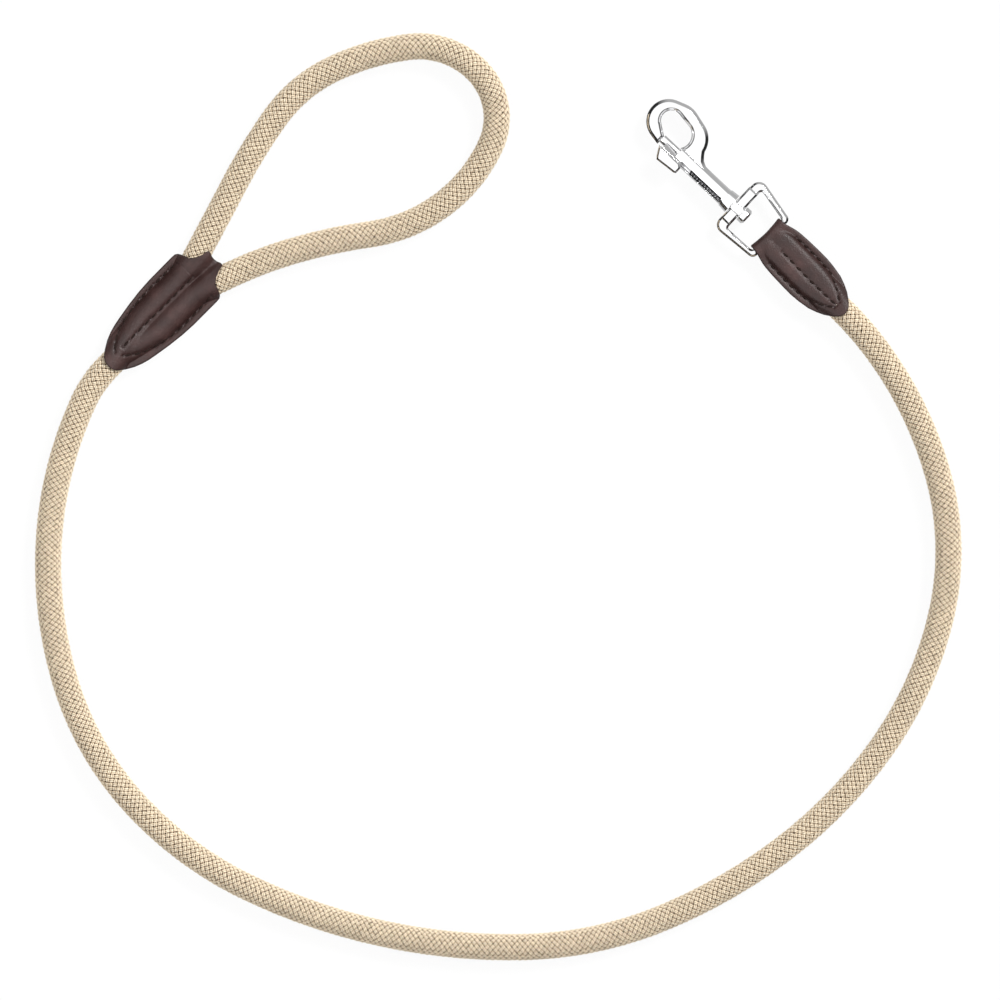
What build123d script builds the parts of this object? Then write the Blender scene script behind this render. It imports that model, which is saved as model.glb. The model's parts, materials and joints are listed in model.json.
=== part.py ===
from build123d import *
import math
import os

# Training leash: hand loop, leather splice, lead, leather tab, swivel eye and bolt snap.
# It is laid out flat in XY with Z up, and every part is centred on the level CENTRE_Z.
# Lengths in mm, angles in degrees, headings counter-clockwise from +X.
# Local frames use t along a heading, v to its left and z above the centre level.

CENTRE_Z = 7.75

# ---- cord ---------------------------------------------------------------------
ROPE_R = 6.1
CORE_R = 3.9
CORE_GAP = 0.03                  # between core and sheath
CORE_HOLE_R = CORE_R + CORE_GAP
SOCKET_GAP = 0.5                 # between a round end and the cup facing it
CUP_R = ROPE_R + SOCKET_GAP

# ---- lead: 14 arcs from the splice to the tab -----------------------------------
LEAD_END_LEN = 20.0              # first and last arcs
LEAD_MID_LEN = 64.822            # the arcs between
LEAD_TURNS = [20.152, 21.082, 20.016, 26.084, 21.836, 13.394, 13.496,
              21.161, 15.007, 17.667, 22.0, 28.684, 21.301, 7.606]
LAST = len(LEAD_TURNS) - 1

# ---- hand loop: 10 arcs from mouth A (upper leg) round to mouth B ----------------
LOOP_START = (-136.794, 110.659)
LOOP_HEAD = 61.81
LOOP_LEN = 35.522                # each arc
LOOP_TURNS = [0.51, -7.57, -29.74, -17.8, -54.88, -67.29, -29.06, -27.82, 8.1, 10.44]
LOOP_OUT = 5.5                   # hinge points stand this far outside the mouth
LOOP_SWING = 60.0                # swing either way that the splice leaves room for
SWING_EXTRA = 2.0
SWING_GAP = 0.35

# ---- leather and stitches ---------------------------------------------------------
LEATHER = 1.6
GAP = 0.05                       # leather to cord, and half the split between layers
FACE_Z = LEATHER + GAP           # face of the flat leather
CUT_Z = 12.0                     # half height of the outline prisms
STITCH = 4.7                     # pitch on the handle
TAB_STITCH = STITCH * 0.9
STITCH_LIFT = 0.1                # bars above the leather
THREAD_R = 0.4
BAR_SECTION = (1.7 * THREAD_R, 1.5 * THREAD_R)
BAR_INSET = 0.2                  # bars stop short of the post centres
POST_WIDTH = 0.94

# ---- handle splice ----------------------------------------------------------------
SPLICE_CENTRE = (-152.258, 84.812)
SPLICE_HEAD = 225.3
SIDE_A, SIDE_B = -1, 1           # side of the splice axis each leg lies on
LEG_V = 4.7                      # legs from the splice axis
LEG_R = 4.4                      # squeezed leg
LEG_CORE_R = 2.9
LEG_HOLE_R = LEG_CORE_R + CORE_GAP
LEG_START = -14.0                # both legs run straight from here
LEG_END = 9.0                    # leg A turns in towards the lead
TAIL_END = 8.5                   # cut end of leg B
LEAD_START = 36.0
MOUTH_IN = 1.0                   # legs stay round this far past the mouth
TAIL_COVER = 1.0                 # leather ridge past the cut end
SPLICE_HALF = [                  # t, half width
    (-23.0, 14.2), (-19.6, 14.45), (-5.0, 14.4), (2.0, 14.0), (9.5, 13.1), (16.8, 11.9),
    (20.5, 11.2), (24.1, 10.2), (27.8, 8.7), (31.4, 6.6), (34.4, 4.0)]
SPLICE_TIP = 35.9
SPLICE_MOUTH = [(-33.6, -3.6), (-31.6, -1.2), (-31.6, 1.2), (-33.6, 3.6)]  # t, v: notched end
HANDLE_SIDE_ROW = [              # t, v of the left row
    (-20.0, 10.9), (-8.0, 11.3), (4.0, 11.2), (12.0, 10.0), (19.0, 8.3), (25.0, 5.6),
    (29.5, 2.2)]
HANDLE_MIDDLE_ROW = [(-20.0, 0.0), (10.0, 0.0), (29.5, 0.0)]

# ---- snap-end tab: t runs from the lead back-to-front of the eye --------------------
TAB_TO_TIP = 28.7                # tab centre to its tip at the lead
TAB_HALF = [                     # t, half width
    (-21.0, 9.1), (-18.3, 9.1), (-18.0, 10.7), (-14.0, 11.2), (-7.0, 11.5), (0.0, 11.7),
    (5.0, 11.7), (9.5, 11.3), (15.0, 10.4), (18.7, 9.1), (22.3, 7.4), (25.9, 4.9), (27.6, 3.1)]
TONGUE_V = 3.4                   # the cord's end lies in two ridges
TONGUE_R = 3.3
TONGUE_START = -12.0
TONGUE_BEND = 6.0                # ridges start to merge here
WEB_END = 8.0                    # flat web between the ridges
WEB_HALF = 1.9
CORE_TIP_R = 1.6
TONGUE_GAP = 0.1                 # at the ridges' and web's ends
BAR_T = -20.6                    # the eye's far bar along the tab
FOLD_HALF = 9.0                  # half width of the fold round the bar
RAMP_LEN = 9.0                   # fold thins to the flat leather over this
EYE_PLAY = 0.1                   # leather to bar
TAB_SIDE_ROW = [                 # t, v of the left row
    (-11.5, 8.6), (0.0, 8.9), (9.0, 8.5), (15.0, 6.6), (19.5, 4.2), (23.0, 1.6)]
TAB_MIDDLE_ROW = [(-11.5, 0.0), (6.0, 0.0), (23.0, 0.0)]

# ---- swivel eye and rivet, in the snap's frame ----------------------------------------
SNAP_HEAD = -43.2                # from hook to eye
AXIS_V = -0.75                   # the swivel's axis
EYE_BAR_R = 1.5
EYE_FAR = 22.5                   # far bar's t
FAR_BAR_HALF = 9.8
EYE_HALF = 1.6                   # half thickness of the eye's sides
EYE_CHAMFER = 1.0
EYE_OUT = [(4.5, -9.6, 4.1), (5.0, 11.9, 4.2),          # t, v, radius of the corners
           (21.55, 9.95, 2.6), (21.55, -9.95, 2.6)]
EYE_IN = [(6.9, -9.2, 1.0), (6.7, 11.6, 1.0), (19.85, 8.9, 1.0), (19.85, -8.9, 1.0)]
FAR_CUT = (20.5, 26, -9.5, 9.5, -4, 4)                  # flat sides cleared for the far bar
BAND = (0.5, 5.7, -8.8, 10.4, -2.7, 2.7)                # thick bar next to the hook
EDGE_CHAMFER = 0.9               # band, rivet head and thumb pad
HUB_R = 3.4
HUB = (0.35, 6.0)
STEM_R = 1.9
STEM_GAP = 0.05
STEM_START = -4.6
HEAD_R = 3.8
HEAD = (6.25, 9.6)

# ---- snap body -----------------------------------------------------------------------
BODY_HALF = 3.1                  # half thickness of the hook
BODY_CHAMFER = 1.4
SHANK_R = 4.2
SHANK = (-33.5, -3.0)
COLLAR_R = (4.6, 5.0)            # cone
COLLAR = (-4.3, 0.0)
HOOK = [(-46.7, 6.9, 10.2), (-42.5, 7.6, 11.0), (-36.2, 5.9, 11.1)]   # t, v, radius
HOOK_OPENING = [(-46.0, 7.9, 4.75), (-39.6, 5.4, 6.3)]
NECK = [                         # t, v: plate from hook to shank
    (-33.5, -6.0), (-33.5, 6.0), (-28.5, 10.0), (-26.0, 9.0), (-24.2, 6.4), (-22.6, 4.6),
    (-20.3, 3.5), (-16.0, 3.0), (-16.0, -3.6), (-20.0, -6.0)]
GATE = (-43.5, -33.5)            # hook tip to housing

# ---- bolt, thumb stud and spring -------------------------------------------------------
BOLT_R = 2.05
BORE_R = 2.1
BOLT = (-43.4, -24.0)
BORE_END = -5.2
SLOT_HALF = 1.5
SLOT_TURN = -50.0                # slot and web turn up from the side, about the bolt
STUD_WEB = (-40.6, -30.0, -5.9, -1.0, -1.35, 1.35)
PAD_Z = (3.4, 6.3)               # the thumb pad stands over the housing
PAD = [(-42.6, -3.7), (-41.4, -6.0), (-40.0, -8.3), (-39.0, -9.5),    # t, v
       (-29.2, -8.6), (-28.2, -8.0), (-28.2, -5.0), (-30.0, -3.7)]
SPRING_R = 1.65
SPRING_WIRE = 0.28
SPRING_TURNS = 11
SPRING_GAP = 0.1                 # at each end


# ---- helpers ----------------------------------------------------------------------------
def unit(head):
    return (math.cos(math.radians(head)), math.sin(math.radians(head)))


def ahead(point, head, distance):
    c, s = unit(head)
    return (point[0] + distance * c, point[1] + distance * s)


def chain(start, head, runs):
    """Start point and heading of every (length, turn) arc, and of the chain's end."""
    x, y = start
    stations = [((x, y), head)]
    for length, turn in runs:
        radius = length / math.radians(turn)
        before, after = math.radians(head), math.radians(head + turn)
        x += radius * (math.sin(after) - math.sin(before))
        y -= radius * (math.cos(after) - math.cos(before))
        head += turn
        stations.append(((x, y), head))
    return stations


def disc(point, head, r):
    """Circle face square to the heading."""
    c, s = unit(head)
    return Plane(origin=(*point, CENTRE_Z), x_dir=(-s, c, 0), z_dir=(c, s, 0)) * Circle(r)


def bend(point, head, length, turn, r):
    """Round bar along one arc."""
    centre = ahead(point, head + 90, length / math.radians(turn))
    axis = Axis((*centre, CENTRE_Z), (0, 0, 1 if turn > 0 else -1))
    return revolve(disc(point, head, r), axis, abs(turn))


def ball(point, r):
    return Pos(*point, CENTRE_Z) * Sphere(r)


def taper(start, start_head, start_r, end, end_head, end_r):
    """Ruled bar from one circle to another."""
    rings = [disc(start, start_head, start_r).wire(), disc(end, end_head, end_r).wire()]
    return Solid.make_loft(rings, True)


class Frame:
    """Flat frame: t along the heading, v to its left, z above the centre level."""

    def __init__(self, origin, head):
        self.origin, self.head = origin, head
        self.along, self.left = unit(head), unit(head + 90)

    def at(self, t, v):
        return tuple(o + t * a + v * b for o, a, b in zip(self.origin, self.along, self.left))

    def local(self, point):
        dx, dy = point[0] - self.origin[0], point[1] - self.origin[1]
        return tuple(dx * d[0] + dy * d[1] for d in (self.along, self.left))

    def slab(self, face, z0, z1):
        plane = Plane(origin=(*self.origin, CENTRE_Z + z0), x_dir=(*self.along, 0),
                      z_dir=(0, 0, 1))
        return plane * extrude(face, z1 - z0)

    def box(self, t0, t1, v0, v1, z0, z1):
        face = Pos((t0 + t1) / 2, (v0 + v1) / 2) * Rectangle(t1 - t0, v1 - v0)
        return self.slab(face, z0, z1)

    def rod(self, t0, t1, r0, r1=None, v=0.0):
        """Round bar along t, or a cone."""
        base = Plane(origin=(*self.at(t0, v), CENTRE_Z), x_dir=(*self.left, 0),
                     z_dir=(*self.along, 0))
        if r1 is None:
            return base * extrude(Circle(r0), t1 - t0)
        return base * Pos(0, 0, (t1 - t0) / 2) * Cone(r0, r1, t1 - t0)

    def across(self, face, half):
        """Face drawn in t and -z, extruded from v = -half to half."""
        base = Plane(origin=(*self.at(0, -half), CENTRE_Z), x_dir=(*self.along, 0),
                     z_dir=(*self.left, 0))
        return base * extrude(face, 2 * half)

    def axis(self):
        return Axis((*self.origin, CENTRE_Z), (*self.along, 0))


def largest(shape):
    return max(shape.solids(), key=lambda s: s.volume)


def save(shape, name):
    solid = largest(shape)
    solid.label = name
    export_step(solid, f"parts/{name}.step")


def half_outline(points, tip, mouth=()):
    """Face from half widths: smooth sides, round tip, straight lines across the mouth."""
    mirrored = [(t, -v) for t, v in reversed(points)]
    sides = Spline(*points, (tip, 0), *mirrored)
    closing = Polyline(mirrored[-1], *mouth, points[0])
    return make_face(list(sides.edges()) + list(closing.edges()))


def polygon(points):
    return make_face(Polyline(*points, close=True))


def rounded(corners):
    """Hull of (t, v, radius) circles."""
    return make_hull([e for t, v, r in corners for e in (Pos(t, v) * Circle(r)).edges()])


def rims(shape, z):
    """Edges lying z above or below the centre level."""
    return [e for e in shape.edges() if abs(abs(e.center().Z - CENTRE_Z) - z) < 1e-4]


def eased(shape, z, size):
    """Chamfer round both flat faces."""
    try:
        return chamfer(rims(shape, z), size)
    except Exception:
        # Guards against a rim that cannot take the chamfer: it stays square.
        return shape


# ---- stitches ----------------------------------------------------------------------------
def spaced(line, pitch):
    """Points evenly spaced along a polyline, about pitch apart."""
    run = [0.0]
    for a, b in zip(line, line[1:]):
        run.append(run[-1] + math.dist(a, b))
    count = max(2, round(run[-1] / pitch))
    points = []
    for i in range(count + 1):
        s = run[-1] * i / count
        k = min(len(line) - 2, max(j for j in range(len(run)) if run[j] <= s + 1e-9))
        f = (s - run[k]) / (run[k + 1] - run[k])
        points.append(tuple(a + f * (b - a) for a, b in zip(line[k], line[k + 1])))
    return points


def ridge_level(t, v, lanes):
    """Height of the leather's face; a lane is a list of (t, v, radius) along a ridge."""
    level = FACE_Z
    for lane in lanes:
        for (t0, v0, r0), (t1, v1, r1) in zip(lane, lane[1:]):
            if t0 <= t <= t1:
                f = (t - t0) / (t1 - t0)
                offset = v - (v0 + f * (v1 - v0))
                r = r0 + f * (r1 - r0)
                if abs(offset) < r:
                    level = max(level, math.sqrt(r * r - offset * offset))
    return level


def thread(points):
    """Posts through the leather at (x, y, level), and a bar on each face between posts."""
    parts = []
    for i, (x, y, level) in enumerate(points):
        before, after = points[max(i - 1, 0)], points[min(i + 1, len(points) - 1)]
        way = Vector(after[0] - before[0], after[1] - before[1], 0).normalized()
        reach = level + THREAD_R
        foot = Plane(origin=Vector(x, y, CENTRE_Z - reach), x_dir=way, z_dir=(0, 0, 1))
        parts.append(foot * extrude(Rectangle(POST_WIDTH, POST_WIDTH), 2 * reach))
    for p, q in zip(points, points[1:]):
        for sign in (1, -1):
            start = Vector(p[0], p[1], CENTRE_Z + sign * p[2])
            span = Vector(q[0], q[1], CENTRE_Z + sign * q[2]) - start
            flat = Vector(span.X, span.Y, 0).normalized()
            base = Plane(origin=start + span.normalized() * BAR_INSET,
                         x_dir=Vector(-flat.Y, flat.X, 0), z_dir=span)
            parts.append(base * extrude(Rectangle(*BAR_SECTION), span.length - 2 * BAR_INSET))
    shape = parts[0]
    for part in parts[1:]:
        shape = shape + part
    return shape


def stitch_rows(frame, side_row, middle_row, pitch, lanes, prefix):
    right_row = [(t, -v) for t, v in side_row]
    for side, line in (("left", side_row), ("middle", middle_row), ("right", right_row)):
        points = [(*frame.at(t, v), ridge_level(t, v, lanes) + STITCH_LIFT)
                  for t, v in spaced(line, pitch)]
        save(thread(points), f"{prefix}_stitches_{side}")


os.makedirs("parts", exist_ok=True)

# ---- lead: each length has a round start, and a cup at its end for the next ----------------
splice = Frame(SPLICE_CENTRE, SPLICE_HEAD)
lead_runs = [(LEAD_END_LEN if i in (0, LAST) else LEAD_MID_LEN, turn)
             for i, turn in enumerate(LEAD_TURNS)]
lead = chain(splice.at(LEAD_START, 0), SPLICE_HEAD, lead_runs)


def lead_bar(i, r):
    return bend(*lead[i], *lead_runs[i], r)


def cup(i):
    return ball(lead[i][0], CUP_R)


for i in range(1, LAST):
    sheath = lead_bar(i, ROPE_R) + ball(lead[i][0], ROPE_R) - lead_bar(i, CORE_HOLE_R)
    save(sheath - cup(i + 1), f"lead_sheath_{i:02d}")
    save(lead_bar(i, CORE_R) - cup(i + 1), f"lead_core_{i:02d}")

# ---- hand loop: runs between the hinge points, both outside the mouth ------------------------
loop_runs = [(LOOP_LEN, turn) for turn in LOOP_TURNS]
kept = (LOOP_LEN - LOOP_OUT) / LOOP_LEN      # share left of the first and last arcs
mouth_a = LOOP_START
mouth_b = chain(LOOP_START, LOOP_HEAD, loop_runs)[-1][0]
hinge_a, head_a = chain(LOOP_START, LOOP_HEAD, [(LOOP_OUT, LOOP_TURNS[0] * (1 - kept))])[1]
cut_runs = [(LOOP_LEN * kept, LOOP_TURNS[0] * kept), *loop_runs[1:-1],
            (LOOP_LEN * kept, LOOP_TURNS[-1] * kept)]
loop = chain(hinge_a, head_a, cut_runs)
hinge_b, head_b = loop[-1]


def loop_bar(r):
    parts = [bend(*station, *run, r) for station, run in zip(loop, cut_runs)]
    return parts[0] + parts[1:]


loop_ends = ball(hinge_a, ROPE_R), ball(hinge_b, ROPE_R)
save(loop_bar(ROPE_R) + loop_ends[0] + loop_ends[1] - loop_bar(CORE_HOLE_R), "hand_loop_sheath")
save(loop_bar(CORE_R), "hand_loop_core")


# ---- cord in the splice ------------------------------------------------------------------------
def hinge_relief(hinge, out_head):
    """Room for the loop to turn about the line through both hinge points."""
    axis = Axis((*hinge_a, CENTRE_Z), (hinge_b[0] - hinge_a[0], hinge_b[1] - hinge_a[1], 0))
    bar = extrude(disc(ahead(hinge, out_head, 0.5), out_head, ROPE_R + SWING_GAP), 30)
    tool = ball(hinge, CUP_R)
    full = LOOP_SWING + SWING_EXTRA
    for turn in (full, LOOP_SWING * 0.5, -LOOP_SWING * 0.5, -full):
        tool = tool + bar.rotate(axis, turn)
    return tool


def squeezed_leg(start, head, side, r_out, r_in, end):
    """From inside the mouth to the end of the straight run."""
    knee = splice.at(LEG_START, side * LEG_V)
    narrowing = taper(start, head, r_out, knee, SPLICE_HEAD, r_in)
    return narrowing, splice.rod(LEG_START, end, r_in, v=side * LEG_V)


def leg(hinge, head, mouth, side, r_out, r_in, end):
    """From the hinge point through the mouth to the end of the straight run."""
    inside = ahead(mouth, head, MOUTH_IN)
    entry = extrude(disc(hinge, head, r_out), math.dist(hinge, inside))
    narrowing, straight = squeezed_leg(inside, head, side, r_out, r_in, end)
    return entry + narrowing + straight


def through(r_out, r_in):
    """Leg A and its run in to the start of the lead."""
    run_in = taper(splice.at(LEG_END, SIDE_A * LEG_V), SPLICE_HEAD, r_in,
                   splice.at(LEAD_START, 0), SPLICE_HEAD, r_out)
    return leg(hinge_a, head_a + 180, mouth_a, SIDE_A, r_out, r_in, LEG_END) + run_in


def tail(r_out, r_in, extra=0.0):
    """Leg B, which is cut off inside the leather."""
    return leg(hinge_b, head_b, mouth_b, SIDE_B, r_out, r_in, TAIL_END + extra)


relief = hinge_relief(hinge_a, head_a) + hinge_relief(hinge_b, head_b + 180)

through_solid = through(ROPE_R, LEG_R) + lead_bar(0, ROPE_R) - relief - cup(1)
through_hole = through(CORE_HOLE_R, LEG_HOLE_R) + lead_bar(0, CORE_HOLE_R)
through_core = through(CORE_R, LEG_CORE_R) + lead_bar(0, CORE_R)
save(through_solid - through_hole, "splice_sheath")
save(through_core - ball(hinge_a, 7.2) - cup(1), "splice_core")

save(tail(ROPE_R, LEG_R) - relief - tail(CORE_HOLE_R, LEG_HOLE_R), "tail_sheath")
core_narrowing, core_straight = squeezed_leg(
    ahead(mouth_b, head_b, MOUTH_IN), head_b, SIDE_B, CORE_R, LEG_CORE_R, TAIL_END)
save(core_narrowing + core_straight, "tail_core")

# ---- handle leather: two mirrored layers, back below and front above -------------------------------
splice_ridge_r, leg_ridge_r = ROPE_R + LEATHER, LEG_R + LEATHER
prism = splice.slab(half_outline(SPLICE_HALF, SPLICE_TIP, SPLICE_MOUTH), -CUT_Z, CUT_Z)
ridge = (
    through(splice_ridge_r, leg_ridge_r)
    + tail(splice_ridge_r, leg_ridge_r, TAIL_COVER)
    + ball(splice.at(TAIL_END + TAIL_COVER, SIDE_B * LEG_V), leg_ridge_r)
)
plate = splice.box(-40, 40, -20, 20, -FACE_Z, FACE_Z)
room = (
    through(ROPE_R + GAP, LEG_R + GAP)
    + tail(ROPE_R + GAP, LEG_R + GAP, 0.1)
    + splice.rod(LEAD_START, LEAD_START + 10, ROPE_R + GAP)
)
wrap = ((plate + ridge) & prism) - room
back = largest(wrap & splice.box(-60, 60, -30, 30, -14, -GAP))
save(back, "handle_leather_back")
save(mirror(back, about=Plane(origin=(0, 0, CENTRE_Z), z_dir=(0, 0, 1))), "handle_leather_front")

handle_lanes = [
    [(*splice.local(mouth_a), splice_ridge_r), (LEG_START, SIDE_A * LEG_V, leg_ridge_r),
     (LEG_END, SIDE_A * LEG_V, leg_ridge_r), (LEAD_START, 0, splice_ridge_r)],
    [(*splice.local(mouth_b), splice_ridge_r), (LEG_START, SIDE_B * LEG_V, leg_ridge_r),
     (TAIL_END + TAIL_COVER, SIDE_B * LEG_V, leg_ridge_r)],
]
stitch_rows(splice, HANDLE_SIDE_ROW, HANDLE_MIDDLE_ROW, STITCH, handle_lanes, "handle")

# ---- frames at the snap end: the tab's t points back to the lead, the snap's to the eye --------------
end_point, end_head = lead[-1]
tab = Frame(ahead(end_point, end_head, TAB_TO_TIP), end_head + 180)
far_bar = Frame(tab.at(BAR_T, 0), SNAP_HEAD)
snap = Frame(ahead(far_bar.origin, SNAP_HEAD, -EYE_FAR), SNAP_HEAD)
pin = Frame(snap.at(0, AXIS_V), SNAP_HEAD)


# ---- cord end in the tab --------------------------------------------------------------------------
def tongue(r_out, r_in, start):
    """Cord end: round at the tab's tip, split into two ridges towards the eye."""
    ridges = [
        tab.rod(start, TONGUE_BEND, r_in, v=side * TONGUE_V)
        + taper(tab.at(TONGUE_BEND, side * TONGUE_V), tab.head, r_in,
                tab.at(TAB_TO_TIP, 0), tab.head, r_out)
        for side in (1, -1)
    ]
    return ridges[0] + ridges[1]


last = lead_bar(LAST, ROPE_R) + ball(lead[LAST][0], ROPE_R)
web = tab.box(TONGUE_START, WEB_END, -TONGUE_V, TONGUE_V, -WEB_HALF, WEB_HALF)
tongue_core = tab.rod(WEB_END, TAB_TO_TIP, CORE_TIP_R, CORE_R)
tongue_hole = tab.rod(WEB_END, TAB_TO_TIP, CORE_TIP_R + CORE_GAP, CORE_HOLE_R)
rope_end = last + tongue(ROPE_R, TONGUE_R, TONGUE_START) + web
save(rope_end - lead_bar(LAST, CORE_HOLE_R) - tongue_hole, "rope_end_sheath")
save(lead_bar(LAST, CORE_R) + tongue_core, "rope_end_core")

# ---- tab leather: one piece folded round the eye's far bar --------------------------------------------
tip_ridge_r, tongue_ridge_r = ROPE_R + LEATHER, TONGUE_R + LEATHER
tab_ridge = tongue(tip_ridge_r, tongue_ridge_r, TONGUE_START)
for side in (1, -1):
    tab_ridge = tab_ridge + ball(tab.at(TONGUE_START, side * TONGUE_V), tongue_ridge_r)
tab_ridge = tab_ridge + tab.rod(TAB_TO_TIP, TAB_TO_TIP + 8, tip_ridge_r)
tab_plate = tab.box(BAR_T, 32, -14, 14, -FACE_Z, FACE_Z)
tab_wrap = (tab_plate + tab_ridge) & tab.slab(half_outline(TAB_HALF, TAB_TO_TIP), -CUT_Z, CUT_Z)

eye_hole_r = EYE_BAR_R + EYE_PLAY
fold_r = eye_hole_r + LEATHER
ramp_end = BAR_T + RAMP_LEN
fold = far_bar.across(Circle(fold_r), FOLD_HALF)
ramp = tab.across(
    polygon([(BAR_T, fold_r), (ramp_end, FACE_Z), (ramp_end, -FACE_Z), (BAR_T, -fold_r)]),
    FOLD_HALF)

room_start = TONGUE_START - TONGUE_GAP
tab_room = tongue(ROPE_R + GAP, TONGUE_R + GAP, room_start)
tab_room = tab_room + tab.rod(TAB_TO_TIP, TAB_TO_TIP + 9, ROPE_R + GAP)
tab_room = tab_room + tab.box(room_start, WEB_END + TONGUE_GAP, -TONGUE_V, TONGUE_V,
                              -WEB_HALF - GAP, WEB_HALF + GAP)
slit = tab.box(BAR_T + 0.5, 32, -16, 16, -GAP, GAP)
eye_hole = far_bar.across(Circle(eye_hole_r), 16)
save(tab_wrap + fold + ramp - tab_room - slit - eye_hole, "tab_leather")

tab_lanes = [
    [(TONGUE_START, side * TONGUE_V, tongue_ridge_r),
     (TONGUE_BEND, side * TONGUE_V, tongue_ridge_r), (TAB_TO_TIP, 0, tip_ridge_r)]
    for side in (1, -1)
]
stitch_rows(tab, TAB_SIDE_ROW, TAB_MIDDLE_ROW, TAB_STITCH, tab_lanes, "tab")

# ---- swivel eye ------------------------------------------------------------------------------------
eye_sides = snap.slab(rounded(EYE_OUT) - rounded(EYE_IN), -EYE_HALF, EYE_HALF)
eye_sides = eased(eye_sides, EYE_HALF, EYE_CHAMFER) - snap.box(*FAR_CUT)
band = chamfer(rims(snap.box(*BAND), BAND[-1]), EDGE_CHAMFER)
eye = eye_sides + far_bar.across(Circle(EYE_BAR_R), FAR_BAR_HALF) + band
save(eye + pin.rod(*HUB, HUB_R) - pin.rod(-1, 8, STEM_R + STEM_GAP), "swivel_eye")

# ---- swivel rivet ----------------------------------------------------------------------------------
rivet = pin.rod(STEM_START, HEAD[0], STEM_R) + pin.rod(*HEAD, HEAD_R)
head_face = rivet.faces().sort_by(pin.axis())[-1]
save(chamfer(head_face.edges(), EDGE_CHAMFER), "swivel_rivet")

# ---- snap body -------------------------------------------------------------------------------------
gate = Pos(sum(GATE) / 2, -8.5) * Rectangle(GATE[1] - GATE[0], 20.0)
below = Pos(-20, -9.5) * Rectangle(47.0, 10.0)       # trims the plate along v = -4.5
hook_face = rounded(HOOK) + polygon(NECK) - rounded(HOOK_OPENING) - gate - below
hook = eased(snap.slab(hook_face, -BODY_HALF, BODY_HALF), BODY_HALF, BODY_CHAMFER)
body = hook + (pin.rod(*SHANK, SHANK_R) + pin.rod(*COLLAR, *COLLAR_R))
body = body - pin.rod(GATE[1] - 0.2, BORE_END, BORE_R) - pin.rod(STEM_START, 1, STEM_R)
slot = pin.box(GATE[1] - 1, BORE_END, -9, 0, -SLOT_HALF, SLOT_HALF)
save(body - slot.rotate(pin.axis(), SLOT_TURN), "snap_body")

# ---- bolt and thumb stud ---------------------------------------------------------------------------
stud_web = pin.box(*STUD_WEB).rotate(pin.axis(), SLOT_TURN)
pad = chamfer(rims(snap.slab(polygon(PAD), *PAD_Z), PAD_Z[1]), EDGE_CHAMFER)
save(pin.rod(*BOLT, BOLT_R) - stud_web, "bolt")
save(stud_web + pad, "thumb_stud")

# ---- bolt spring: from the bolt's end to the end of the bore ------------------------------------------
spring_start = BOLT[1] + SPRING_GAP
spring_len = BORE_END - SPRING_GAP - spring_start - 2 * SPRING_WIRE
base = Plane(origin=(*pin.at(spring_start + SPRING_WIRE, 0), CENTRE_Z), x_dir=(0, 0, 1),
             z_dir=(*snap.along, 0))
coil = base * Helix(pitch=spring_len / SPRING_TURNS, height=spring_len, radius=SPRING_R)
wire_face = Plane(origin=coil @ 0, z_dir=coil % 0) * Circle(SPRING_WIRE)
save(sweep(wire_face, path=coil), "bolt_spring")
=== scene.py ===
"""Looks of the training leash: braided cord, stitched leather, chromed swivel snap."""
import json
import math
import bpy
import numpy as np
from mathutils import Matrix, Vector


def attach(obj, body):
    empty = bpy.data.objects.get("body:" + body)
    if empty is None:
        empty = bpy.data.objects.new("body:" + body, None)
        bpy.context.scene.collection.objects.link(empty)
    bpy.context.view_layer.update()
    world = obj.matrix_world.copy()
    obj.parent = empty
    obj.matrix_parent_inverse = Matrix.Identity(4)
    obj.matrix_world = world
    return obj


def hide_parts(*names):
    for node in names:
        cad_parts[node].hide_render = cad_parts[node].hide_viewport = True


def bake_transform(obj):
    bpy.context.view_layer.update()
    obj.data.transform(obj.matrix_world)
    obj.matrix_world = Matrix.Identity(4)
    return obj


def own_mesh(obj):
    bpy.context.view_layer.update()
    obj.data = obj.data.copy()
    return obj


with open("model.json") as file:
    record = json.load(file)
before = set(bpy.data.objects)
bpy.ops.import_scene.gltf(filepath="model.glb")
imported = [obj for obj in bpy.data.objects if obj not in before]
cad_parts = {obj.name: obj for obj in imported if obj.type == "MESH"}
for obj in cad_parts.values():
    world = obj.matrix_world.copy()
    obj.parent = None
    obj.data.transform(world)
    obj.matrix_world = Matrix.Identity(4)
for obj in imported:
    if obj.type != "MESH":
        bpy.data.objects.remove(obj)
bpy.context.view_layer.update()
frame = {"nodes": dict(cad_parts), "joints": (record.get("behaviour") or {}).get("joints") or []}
MM = 0.001
rng = np.random.default_rng(7)

# ---- the same driving sizes as the CAD, in mm ---------------------------------
ORIGIN = (-0.762, 0.818, -7.75)
ZC = 7.75
ROPE_R = 6.1
LEAD_HEAD = 225.3
LEAD_END_LEN, LEAD_MID_LEN = 20.0, 64.822
LEAD_TURNS = [20.152, 21.082, 20.016, 26.084, 21.836, 13.394, 13.496,
              21.161, 15.007, 17.667, 22.0, 28.684, 21.301, 7.606]
LOOP_A, LOOP_HEAD, LOOP_LEN, LOOP_OUT = (-137.556, 111.477), 61.81, 35.522, 5.5
LOOP_TURNS = [0.51, -7.57, -29.74, -17.8, -54.88, -67.29, -29.06, -27.82, 8.1, 10.44]
SPLICE_C, SPLICE_HEAD = (-153.02, 85.63), 225.3
LEATHER = 1.6
LEG_V, LEG_R, TAIL_END = 4.7, 4.4, 8.5
TAB_TO_TIP, BAR_T = 28.7, -20.6
TONGUE_V, TONGUE_R, TONGUE_START = 3.4, 3.3, -12.0
SNAP_HEAD, EYE_FAR = -43.2, 22.5
AXIS_N = -0.75              # the swivel and bolt axis lies a little below the snap's middle line


def unit(deg):
    return np.array([math.cos(math.radians(deg)), math.sin(math.radians(deg))])


def shift(p):
    return np.array([p[0] - ORIGIN[0], p[1] - ORIGIN[1]])


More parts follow.
